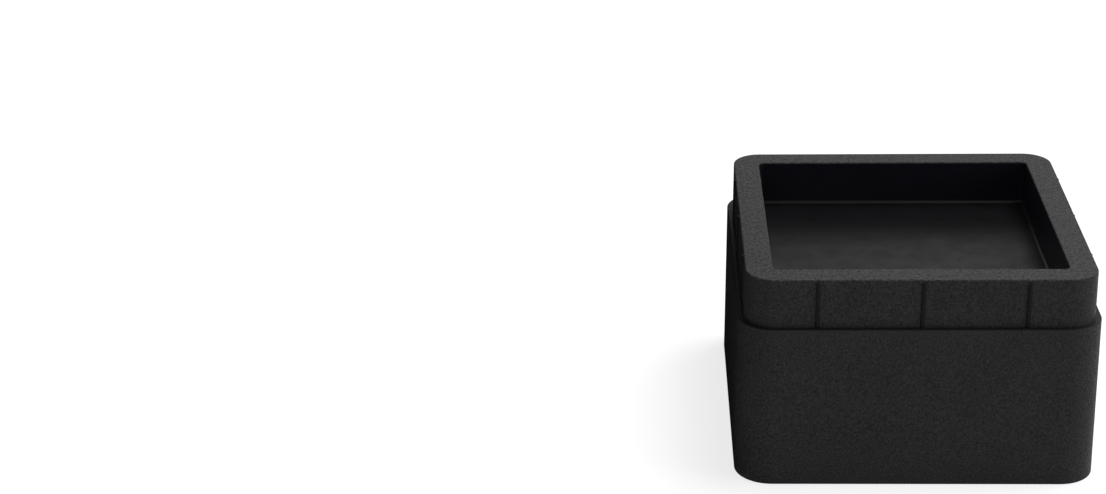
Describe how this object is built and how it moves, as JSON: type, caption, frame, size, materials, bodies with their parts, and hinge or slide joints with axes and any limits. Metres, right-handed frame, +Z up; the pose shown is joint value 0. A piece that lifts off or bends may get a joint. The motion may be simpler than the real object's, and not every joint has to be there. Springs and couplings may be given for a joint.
{
  "type": "bed riser",
  "caption": "Square stackable furniture riser: hollow black plastic block with a drafted skirt, a beaded stacking collar, a square leg recess on top and a rib grid underneath",
  "frame": {"origin": "centre of the foot, on the ground plane", "axes": "+Z up, X and Y along the square's sides; the picture looks along +Y"},
  "size_m": [0.1584, 0.1584, 0.0968],
  "materials": {
    "black_plastic": "fine spark-eroded grain outside, smoother satin in the recess"
  },
  "bodies": {
    "root": {"riser": "black_plastic"}
  },
  "joints": []
}
